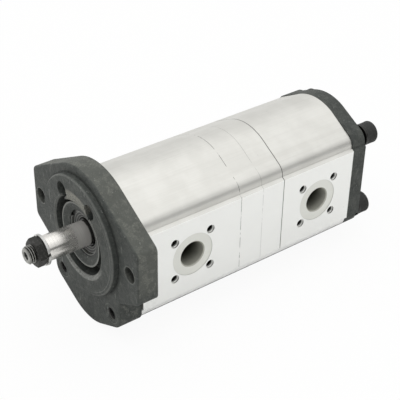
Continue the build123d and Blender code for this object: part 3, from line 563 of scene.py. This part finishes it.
def shading_group():
    """Geometry nodes: points within SHADING_WELD metres join, edges past SHADING_ANGLE degrees stay sharp."""
    group = bpy.data.node_groups.new("joined_and_smooth", "GeometryNodeTree")
    group.interface.new_socket("Geometry", in_out="INPUT", socket_type="NodeSocketGeometry")
    group.interface.new_socket("Geometry", in_out="OUTPUT", socket_type="NodeSocketGeometry")
    add = group.nodes.new
    start, end = add("NodeGroupInput"), add("NodeGroupOutput")
    merge = add("GeometryNodeMergeByDistance")
    faces, edges = add("GeometryNodeSetShadeSmooth"), add("GeometryNodeSetShadeSmooth")
    bend, over = add("GeometryNodeInputMeshEdgeAngle"), add("FunctionNodeCompare")
    merge.inputs["Distance"].default_value = SHADING_WELD
    faces.domain = "FACE"
    faces.inputs["Shade Smooth"].default_value = True
    edges.domain = "EDGE"
    edges.inputs["Shade Smooth"].default_value = False
    over.data_type = "FLOAT"
    over.operation = "GREATER_THAN"
    over.inputs[1].default_value = math.radians(SHADING_ANGLE)
    link = group.links.new
    link(start.outputs[0], merge.inputs[0])
    link(merge.outputs[0], faces.inputs[0])
    link(faces.outputs[0], edges.inputs[0])
    link(bend.outputs["Unsigned Angle"], over.inputs[0])
    link(over.outputs[0], edges.inputs["Selection"])
    link(edges.outputs[0], end.inputs[0])
    return group


def dress_nodes():
    """Gives every imported piece the finish of its slot and smooth shading."""
    smoothing = shading_group()
    slots = {entry["node"]: entry["material_slot"] for entry in frame["record"]["subparts"]}
    for name, piece in nodes.items():
        piece.data.materials.clear()
        piece.data.materials.append(FINISHES[slots[name]])
        modifier = piece.modifiers.new("smooth", "NODES")
        modifier.node_group = smoothing


dress_nodes()


# Surfaces worked out with numpy; points within WELD metres of each other are joined
WELD = 1e-7


def grid_mesh(name, points, wrap_u, wrap_v):
    """Quads over a grid of points (u, v, 3) in millimetres; wrap closes a direction on itself."""
    count_u, count_v = points.shape[:2]
    index = np.arange(count_u * count_v).reshape(count_u, count_v)
    next_u = np.roll(index, -1, axis=0)
    next_v = np.roll(index, -1, axis=1)
    next_uv = np.roll(next_u, -1, axis=1)
    quads = np.stack([index, next_v, next_uv, next_u], axis=-1)
    quads = quads[: None if wrap_u else -1, : None if wrap_v else -1].reshape(-1, 4)
    mesh = bpy.data.meshes.new(name)
    mesh.from_pydata((points.reshape(-1, 3) * MM).tolist(), [], quads.tolist())
    return mesh


def round_points(radius, depth, angle):
    """Points about the Y axis from rows of radius and depth; either may change with the angle."""
    radius, depth, angle = np.broadcast_arrays(radius, depth, angle)
    return np.stack([radius * np.cos(angle), depth, radius * np.sin(angle)], axis=-1)


def turn_angles(count):
    """Equal angles round one turn, as a row."""
    return np.linspace(0, 2 * np.pi, count, endpoint=False)[None, :]


def column(values):
    """Values as a column, one row of a surface each."""
    return np.array(values, dtype=float)[:, None]


def finished(name, mesh, body, slot, replaced=(), smooth_angle=30.0):
    """Links a mesh as a piece, welds it, turns its faces outwards and puts it on its body."""
    shape = bmesh.new()
    shape.from_mesh(mesh)
    bmesh.ops.remove_doubles(shape, verts=shape.verts, dist=WELD)
    bmesh.ops.recalc_face_normals(shape, faces=shape.faces)
    for face in shape.faces:
        face.smooth = True
    for edge in shape.edges:
        edge.smooth = edge.calc_face_angle(0.0) < math.radians(smooth_angle)
    shape.to_mesh(mesh)
    shape.free()
    piece = bpy.data.objects.new(name, mesh)
    bpy.context.scene.collection.objects.link(piece)
    mesh.materials.append(FINISHES[slot])
    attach(piece, body)
    if replaced:
        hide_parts(*replaced)


def join_meshes(name, meshes):
    """One mesh from several."""
    shape = bmesh.new()
    for mesh in meshes:
        shape.from_mesh(mesh)
    joined = bpy.data.meshes.new(name)
    shape.to_mesh(joined)
    shape.free()
    return joined


def trimmed_copy(node, plane_y, side):
    """Merged copy of a node, cut square to the shafts and closed; side -1 drops the front, +1 the rear."""
    shape = bmesh.new()
    shape.from_mesh(nodes[node].data)
    bmesh.ops.remove_doubles(shape, verts=shape.verts, dist=WELD)
    every = list(shape.verts) + list(shape.edges) + list(shape.faces)
    plane = {"plane_co": (0, plane_y * MM, 0), "plane_no": (0, side, 0)}
    cut = bmesh.ops.bisect_plane(shape, geom=every, clear_outer=True, **plane)
    rim = [item for item in cut["geom_cut"] if isinstance(item, bmesh.types.BMEdge)]
    bmesh.ops.edgeloop_fill(shape, edges=rim)
    copy = bpy.data.meshes.new(node + "_trimmed")
    shape.to_mesh(copy)
    shape.free()
    return copy


# The threaded end of the drive shaft
CUT_OVERLAP = 0.05
TOOTH_SLOPE = 2.6
TOOTH_FLAT = 0.15


def thread_tooth(phase):
    """Height of a thread over one unit of phase: slanted flanks between a flat crest and a flat root."""
    return np.clip(np.abs(phase % 1.0 - 0.5) * TOOTH_SLOPE - TOOTH_FLAT, 0.0, 1.0)


def outer_thread(start_y, end_y, around=96, steps_per_pitch=12):
    """Screw thread: radius = root + depth * tooth(y / pitch + angle / turn), tapered at the tip."""
    steps = int((end_y - start_y) / THREAD_PITCH * steps_per_pitch)
    angle = turn_angles(around)
    y = np.linspace(start_y, end_y, steps)[:, None]
    tooth = thread_tooth(y / THREAD_PITCH + angle / (2 * np.pi))
    radius = THREAD_MAJOR - THREAD_DEPTH * (1 - tooth)
    taper = np.clip((y - start_y) / TIP_TAPER, 0.0, 1.0)
    radius = np.minimum(radius, THREAD_MAJOR - TIP_TAPER * (1 - taper))
    return round_points(radius, y, angle)


def threaded_end(start_y, end_y):
    """Closed end of the shaft: centre drilling, end face, thread, and a disc inside the nut."""
    thread = outer_thread(start_y, end_y)
    angle = turn_angles(thread.shape[1])
    bore, mouth = CENTRE_DRILL_BORE_RADIUS, CENTRE_DRILL_RADIUS
    flare = (mouth - bore) * math.sqrt(3)
    radii = column([0.0, bore, bore, mouth, mouth + 0.25])
    depths = start_y + column([CENTRE_DRILL_DEPTH, CENTRE_DRILL_DEPTH - 0.5, flare, 0.02, 0.0])
    front = round_points(radii, depths, angle)
    centre = round_points(0.0, end_y, angle)
    return grid_mesh("threaded_end", np.concatenate([front, thread, centre]), False, True)


def drive_shaft_piece():
    """The shaft as built, cut off inside the nut, with a real thread in front of the cut."""
    cut_y = NUT_REAR_Y - 1.0
    body = trimmed_copy("drive_shaft", cut_y, -1)
    end = threaded_end(SHAFT_END_Y, cut_y - CUT_OVERLAP)
    mesh = join_meshes("drive_shaft_threaded", [body, end])
    finished("drive_shaft_threaded", mesh, "drive_line", "shaft_steel", ("drive_shaft",))


# The split spring washer
WASHER_BORE_RADIUS = 6.15
WASHER_EDGE = 0.18
WASHER_SLANT = 1.4
WASHER_STEPS = 90
SPLIT_WIDTH = math.radians(12.0)
SPLIT_MIDDLE = math.radians(12.0)


def spring_washer_piece():
    """Rectangular section with broken edges carried round nearly a full turn, its ends cut on a slant."""
    inner, outer = WASHER_BORE_RADIUS, high("spring_washer", 0)
    thickness = WASHER_REAR_Y - NUT_REAR_Y
    first = SPLIT_MIDDLE + SPLIT_WIDTH / 2
    turn = np.linspace(first, first + 2 * np.pi - SPLIT_WIDTH, WASHER_STEPS)[:, None]
    front = [(inner, WASHER_EDGE), (inner + WASHER_EDGE, 0), (outer - WASHER_EDGE, 0), (outer, WASHER_EDGE)]
    back = [(radius, thickness - depth) for radius, depth in reversed(front)]
    section = np.array(front + back)
    radius, depth = section[None, :, 0], section[None, :, 1]
    slant = (depth / thickness - 0.5) * WASHER_SLANT / outer
    fade = np.linspace(-1, 1, len(turn))[:, None]
    points = round_points(radius, NUT_REAR_Y + depth, turn + slant * np.abs(fade) ** 6)
    caps = [np.repeat(points[i].mean(axis=0)[None, None], points.shape[1], axis=1) for i in (0, -1)]
    mesh = grid_mesh("split_spring_washer", np.concatenate([caps[0], points, caps[1]]), False, True)
    finished("split_spring_washer", mesh, "drive_line", "washer_steel", ("spring_washer",))


# Tie bolts with knurled heads
KNURL_COUNT = 45
KNURL_DEPTH = 0.3
KNURL_START = 1.0
KNURL_END = 1.6
KNURL_STEPS = 40
SOCKET_ACROSS_FLATS = 8.0
SOCKET_DEPTH = 5.0
SOCKET_CHAMFER = 0.3
HEAD_CHAMFER = 0.8
HEAD_FOOT_CHAMFER = 0.4
SHANK_CLEARANCE = 0.1
HEAD_SMOOTH_ANGLE = 35.0


def saw(phase):
    """Triangle wave between 0 and 1 over one unit of phase."""
    return 1 - 2 * np.abs(phase % 1.0 - 0.5)


def knurled_head(x, z):
    """Closed head: crossed helical knurl, radius = crest - depth * (1 - lower of two waves), and a socket."""
    angle = turn_angles(4 * KNURL_COUNT)
    pitch = 2 * np.pi * HEAD_RADIUS / KNURL_COUNT
    y = np.linspace(HEAD_Y + KNURL_START, HEAD_END_Y - KNURL_END, KNURL_STEPS)[:, None]
    around = angle * KNURL_COUNT / (2 * np.pi)
    crest = np.minimum(saw(around + y / pitch), saw(around - y / pitch))
    ends = np.clip(np.minimum(y - y[0], y[-1] - y) / 0.5, 0.0, 1.0)
    knurl = round_points(HEAD_RADIUS - KNURL_DEPTH * (1 - crest) * ends, y, angle)
    core = BOLT_RADIUS - SHANK_CLEARANCE
    stub_radii = column([0.0, core, core, HEAD_RADIUS - HEAD_FOOT_CHAMFER, HEAD_RADIUS])
    stub = round_points(stub_radii, HEAD_Y + column([-1.0, -1.0, 0.0, 0.0, HEAD_FOOT_CHAMFER]), angle)
    flat = SOCKET_ACROSS_FLATS / 2
    hexagon = flat / np.cos((angle % (np.pi / 3)) - np.pi / 6)
    face_radii = column([HEAD_RADIUS, HEAD_RADIUS - 0.25, HEAD_RADIUS - HEAD_CHAMFER, flat + 1.1])
    face = round_points(face_radii, HEAD_END_Y - column([HEAD_CHAMFER, 0.25, 0.0, 0.0]), angle)
    socket_depths = HEAD_END_Y - column([0.0, SOCKET_CHAMFER, SOCKET_DEPTH])
    socket = round_points(hexagon + column([SOCKET_CHAMFER, 0.0, 0.0]), socket_depths, angle)
    bottom = round_points(column([0.0]), HEAD_END_Y - SOCKET_DEPTH, angle)
    points = np.concatenate([stub, knurl, face, socket, bottom]) + (x, 0.0, z)
    return grid_mesh("knurled_head", points, False, True)


def tie_bolts_piece():
    """The bolts as built, cut off under their heads, with four knurled heads behind the cut."""
    shanks = trimmed_copy("tie_bolts", HEAD_Y - CUT_OVERLAP, 1)
    places = [(i * BOLT_X, MIDDLE_Z + k * BOLT_HALF_HEIGHT) for i in (1, -1) for k in (1, -1)]
    heads = [knurled_head(x, z) for x, z in places]
    mesh = join_meshes("tie_bolts_knurled", [shanks, *heads])
    finished("tie_bolts_knurled", mesh, "housing", "tie_bolt_steel", ("tie_bolts",), HEAD_SMOOTH_ANGLE)


# Threads in the tapped holes
PORT_THREAD_PITCH = 1.0
PORT_THREAD_DEPTH = 7.0
COVER_THREAD_PITCH = 1.5
COVER_THREAD_DEPTH = 5.0
LINER_CLEARANCE = 0.02
LINER_WALL = 0.02
MOUTH_SHARE_OF_RADIUS = 0.18
TOOTH_SHARE_OF_PITCH = 0.55
LINER_SMOOTH_ANGLE = 50.0


def thread_liner(hole_radius, depth, pitch, around=48, steps_per_pitch=8):
    """Closed sleeve: countersunk mouth, inner thread radius = crest + height * tooth, plain outside."""
    outer = hole_radius - LINER_CLEARANCE
    mouth = MOUTH_SHARE_OF_RADIUS * outer
    height = TOOTH_SHARE_OF_PITCH * pitch
    angle = turn_angles(around)
    t = np.linspace(mouth, depth, int((depth - mouth) / pitch * steps_per_pitch))[:, None]
    tooth = thread_tooth(t / pitch - angle / (2 * np.pi))
    run_in = np.clip((t - mouth) / pitch, 0.0, 1.0)
    core = outer - LINER_WALL - height * (1 - tooth) * run_in
    plain = 0 * angle + outer
    radius = np.concatenate([plain, plain - 0.03, core, plain])
    level = np.concatenate([column([0.01, mouth * 0.8]), t, column([depth])])
    return radius, level, angle


def port_threads_piece():
    """A thread in each of the sixteen bolt holes round the ports."""
    radius, level, angle = thread_liner(PORT_HOLE_RADIUS, PORT_THREAD_DEPTH, PORT_THREAD_PITCH)
    meshes = []
    for side, spacing in ((1, SUCTION_HOLE_SPACING), (-1, PRESSURE_HOLE_SPACING)):
        for station in PORTS_Y:
            for i in (1, -1):
                for k in (1, -1):
                    y = station + i * spacing / 2 + radius * np.cos(angle)
                    z = MIDDLE_Z + k * spacing / 2 + radius * np.sin(angle)
                    x = side * (PAD_X - level) + 0 * angle
                    meshes.append(grid_mesh("port_thread", np.stack([x, y, z], axis=-1), True, True))
    mesh = join_meshes("port_hole_threads", meshes)
    finished("port_hole_threads", mesh, "housing", "body_aluminium", smooth_angle=LINER_SMOOTH_ANGLE)


def cover_threads_piece():
    """A thread in each of the two lower holes of the front cover."""
    radius, level, angle = thread_liner(TAPPED_CORE_RADIUS, COVER_THREAD_DEPTH, COVER_THREAD_PITCH)
    meshes = []
    for side in (1, -1):
        points = round_points(radius, SPOT_FACE_DEPTH + level, angle)
        points = points + (side * BOLT_X, 0.0, MIDDLE_Z - BOLT_HALF_HEIGHT)
        meshes.append(grid_mesh("cover_thread", points, True, True))
    mesh = join_meshes("cover_hole_threads", meshes)
    finished("cover_hole_threads", mesh, "housing", "cast_iron", smooth_angle=LINER_SMOOTH_ANGLE)


drive_shaft_piece()
spring_washer_piece()
tie_bolts_piece()
port_threads_piece()
cover_threads_piece()


# The floor, level with the lowest point of the front cover
FLOOR_HALF_WIDTH = 3000.0
FLOOR_GLOW = 0.93


def floor_material():
    """Pale floor that reads as white to the camera and keeps the object's shadow."""
    material = bpy.data.materials.new("pale_floor")
    material.use_nodes = True
    graph = Graph(material.node_tree)
    shader = graph.tree.nodes["Principled BSDF"]
    shader.inputs["Base Color"].default_value = (0.80, 0.80, 0.795, 1.0)
    shader.inputs["Roughness"].default_value = 0.9
    shader.inputs["Specular IOR Level"].default_value = 0.1
    seen = graph.node("ShaderNodeLightPath", {}, {}) * FLOOR_GLOW
    glow = graph.node("ShaderNodeEmission", {}, {"Color": (1.0, 1.0, 1.0, 1.0)})
    surface = graph.node("ShaderNodeMixShader", {}, {0: seen, 1: Link(graph, shader.outputs[0]), 2: glow})
    graph.tree.links.new(surface.socket, graph.tree.nodes["Material Output"].inputs[0])
    return material


def add_floor():
    """A flat square under the pump."""
    half = FLOOR_HALF_WIDTH
    corners = [(-half, -half), (half, -half), (half, half), (-half, half)]
    points = [(x * MM, y * MM, FLOOR_Z * MM) for x, y in corners]
    mesh = bpy.data.meshes.new("floor")
    mesh.from_pydata(points, [], [(0, 1, 2, 3)])
    mesh.materials.append(floor_material())
    floor = bpy.data.objects.new("floor", mesh)
    bpy.context.scene.collection.objects.link(floor)


# The studio: level of the light by height above the horizon, a little weaker on the suction side
SKY_STOPS = [(0.0, 0.62), (0.40, 0.64), (0.60, 0.70), (0.76, 0.80), (0.87, 0.97), (1.0, 1.0)]
SKY_STRENGTH = 1.42
SKY_BLUE = 0.985
SIDE_FALL = 0.02
STRIP_HEIGHT = math.radians(13.0)
STRIP_DARKNESS = 0.75
STRIP_HALF_WIDTH = 0.145
STRIP_FADE = 0.045


def add_world():
    """White to the camera; light and reflections come from a soft sky.

    The sky is brightest overhead and has a dark strip low on the suction side.
    """
    world = bpy.data.worlds.new("studio")
    bpy.context.scene.world = world
    world.use_nodes = True
    graph = Graph(world.node_tree)
    graph.tree.nodes.clear()
    direction = Link(graph, graph.tree.nodes.new("ShaderNodeTexCoord").outputs["Generated"])
    x, _, z = graph.split(direction)
    stops = [(position, (level, level, level * SKY_BLUE)) for position, level in SKY_STOPS]
    sky = graph.node("ShaderNodeValToRGB", {"stops": stops}, {0: z})
    off_strip = (x * math.sin(STRIP_HEIGHT) - z * math.cos(STRIP_HEIGHT)).size()
    strip = off_strip.step(STRIP_HALF_WIDTH + STRIP_FADE, STRIP_HALF_WIDTH - STRIP_FADE) * x.step(0.1, 0.4)
    level = (1 - x * SIDE_FALL) * (1 - strip * STRIP_DARKNESS)
    light = graph.node("ShaderNodeVectorMath", {"operation": "SCALE"}, {0: sky, "Scale": level})
    soft = graph.node("ShaderNodeBackground", {}, {"Color": light, "Strength": SKY_STRENGTH})
    white = graph.node("ShaderNodeBackground", {}, {"Color": (1.0, 1.0, 1.0, 1.0), "Strength": 1.0})
    seen = graph.node("ShaderNodeLightPath", {}, {})
    surface = graph.node("ShaderNodeMixShader", {}, {0: seen, 1: soft, 2: white})
    output = graph.tree.nodes.new("ShaderNodeOutputWorld")
    graph.tree.links.new(surface.socket, output.inputs[0])


def matrix_from(right, up, back, place):
    """World matrix of a lamp or a camera from its three directions and its place."""
    columns = np.stack([right, up, back, place], axis=1)
    return Matrix([*columns.tolist(), [0.0, 0.0, 0.0, 1.0]])


# One large soft lamp, in metres and watts
LAMP_PLACE = (0.10, -0.45, 1.40)
LAMP_TARGET = (0.0, 0.08, 0.0)
LAMP_SIZE = 1.3
LAMP_POWER = 2.6


def add_lamp():
    """The lamp as a disc at its place, turned to its target."""
    light = bpy.data.lights.new("key", "AREA")
    light.shape = "DISK"
    light.size = LAMP_SIZE
    light.energy = LAMP_POWER
    lamp = bpy.data.objects.new("key", light)
    bpy.context.scene.collection.objects.link(lamp)
    eye = np.array(LAMP_PLACE)
    back = eye - np.array(LAMP_TARGET)
    back = back / np.linalg.norm(back)
    right = np.cross((0.0, 0.0, 1.0), back)
    right = right / np.linalg.norm(right)
    lamp.matrix_world = matrix_from(right, np.cross(back, right), back, eye)


# Camera found from the photograph: place in millimetres, focal length in pixels of a 400 pixel frame
CAMERA_PLACE = np.array([476.388, -270.074, 394.923])
CAMERA_RIGHT = np.array([0.59860604, 0.80091875, 0.01414115])
CAMERA_DOWN = np.array([0.45642433, -0.32651743, -0.82768545])
CAMERA_AHEAD = np.array([-0.65829146, 0.50191187, -0.56101411])
FOCAL_PIXELS = 1053.6
FRAME_PIXELS = 400.0
SENSOR_WIDTH = 36.0

# Nearest and furthest distance that the camera sees, in metres
CLIP_START = 0.01
CLIP_END = 20.0


def add_camera():
    """The camera of the photograph, which looks along minus Z of its own frame."""
    data = bpy.data.cameras.new("camera")
    data.sensor_fit = "HORIZONTAL"
    data.sensor_width = SENSOR_WIDTH
    data.lens = SENSOR_WIDTH * FOCAL_PIXELS / FRAME_PIXELS
    data.clip_start = CLIP_START
    data.clip_end = CLIP_END
    camera = bpy.data.objects.new("camera", data)
    bpy.context.scene.collection.objects.link(camera)
    camera.matrix_world = matrix_from(CAMERA_RIGHT, -CAMERA_DOWN, -CAMERA_AHEAD, CAMERA_PLACE * MM)
    bpy.context.scene.camera = camera


add_floor()
add_world()
add_lamp()
add_camera()
bpy.context.scene.view_settings.view_transform = "Standard"
